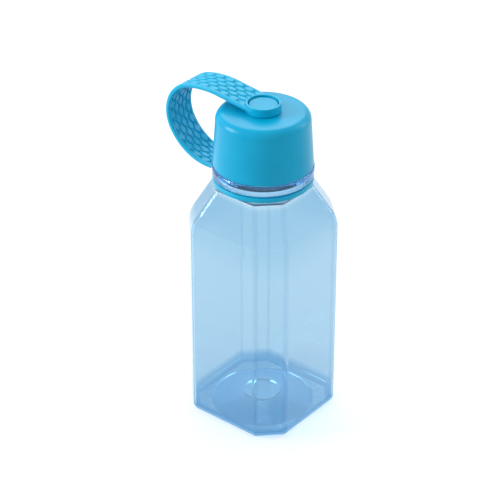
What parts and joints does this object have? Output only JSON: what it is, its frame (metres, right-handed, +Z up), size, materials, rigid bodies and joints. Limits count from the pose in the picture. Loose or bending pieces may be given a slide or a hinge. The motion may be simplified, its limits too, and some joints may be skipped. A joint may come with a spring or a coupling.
{
  "type": "drinking bottle with screw cap and carrying strap",
  "caption": "Clear square drinking bottle with cut corners and a faceted shoulder, closed by a turquoise screw cap that a flexible carrying strap ties to the neck.",
  "frame": {"origin": "centre of the base at floor level, on the bottle's axis", "axes": "+Z up along the bottle's axis, -X towards the strap's loop, X and Y square to the flat sides"},
  "size_m": [0.0937, 0.068, 0.1892],
  "materials": {
    "clear_body": "clear, pale blue, polished",
    "cap_plastic": "turquoise, satin gloss",
    "liner_plastic": "pale, moulded",
    "seal_silicone": "matt silicone",
    "strap_elastomer": "turquoise, soft sheen, raised scales"
  },
  "bodies": {
    "bottle": {"bottle": "clear_body"},
    "strap_ring": {"neck_ring": "strap_elastomer", "strap": "strap_elastomer"},
    "eyelet": {"eyelet": "strap_elastomer"},
    "stud": {"strap_stud": "cap_plastic"},
    "cap": {"cap_shell": "cap_plastic", "cap_liner": "liner_plastic", "seal_ring": "seal_silicone"}
  },
  "joints": [
    {"name": "strap_swivel", "type": "hinge", "parent": "bottle", "child": "strap_ring", "pos_m": [0, 0, 0.14335], "axis": [0, 0, 1], "continuous": true},
    {"name": "eyelet_lift", "type": "slide", "parent": "strap_ring", "child": "eyelet", "axis": [0, 0, 1], "range_m": [0, 0.006], "deforming": ["strap"]},
    {"name": "cap_lift", "type": "slide", "parent": "bottle", "child": "stud", "axis": [0, 0, 1], "range_m": [0, 0.006]},
    {"name": "cap_turn", "type": "hinge", "parent": "stud", "child": "cap", "pos_m": [0, 0, 0.1823], "axis": [0, 0, 1], "range_deg": [0, 540]}
  ],
  "couplings": [
    {"joint": "cap_lift", "follows": "cap_turn", "m_per_rad": 0.00063662},
    {"joint": "eyelet_lift", "follows": "cap_turn", "m_per_rad": 0.00063662}
  ]
}
